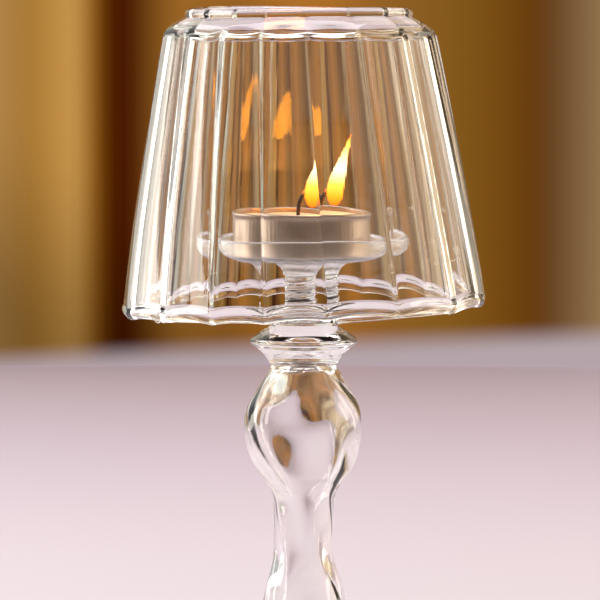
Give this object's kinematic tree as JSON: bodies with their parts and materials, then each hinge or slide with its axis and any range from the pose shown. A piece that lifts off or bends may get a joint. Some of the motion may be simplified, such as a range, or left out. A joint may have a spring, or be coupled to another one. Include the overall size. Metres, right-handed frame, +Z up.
{
  "type": "tealight holder",
  "caption": "Clear glass tealight holder shaped like a table lamp, with a loose ribbed glass shade over a shallow dish on a baluster stem.",
  "frame": {"origin": "centre of the flat ring under the foot, on the surface that the holder stands on", "axes": "+Z up along the stem, -Y towards the front, +X to the right seen from the front"},
  "size_m": [0.092, 0.0919, 0.188],
  "materials": {
    "clear_glass": "fire-polished clear",
    "cup_aluminium": "drawn, satin",
    "tab_steel": "tinned",
    "wax_paraffin": "waxy, softly translucent",
    "wick_cotton": "charred braid"
  },
  "bodies": {
    "holder": {"foot": "clear_glass", "stem": "clear_glass", "collar": "clear_glass", "arm_hub": "clear_glass", "arm_back": "clear_glass", "arm_left": "clear_glass", "arm_right": "clear_glass", "neck": "clear_glass", "dish": "clear_glass"},
    "shade": {"shade": "clear_glass"},
    "tealight": {"tealight_cup": "cup_aluminium", "wax": "wax_paraffin", "wick_tab": "tab_steel", "wick": "wick_cotton"}
  },
  "joints": [
    {"name": "shade_lift", "type": "slide", "parent": "holder", "child": "shade", "axis": [0, 0, 1], "range_m": [0, 0.05]},
    {"name": "tealight_lift", "type": "slide", "parent": "holder", "child": "tealight", "axis": [0, 0, 1], "range_m": [0, 0.075]}
  ]
}
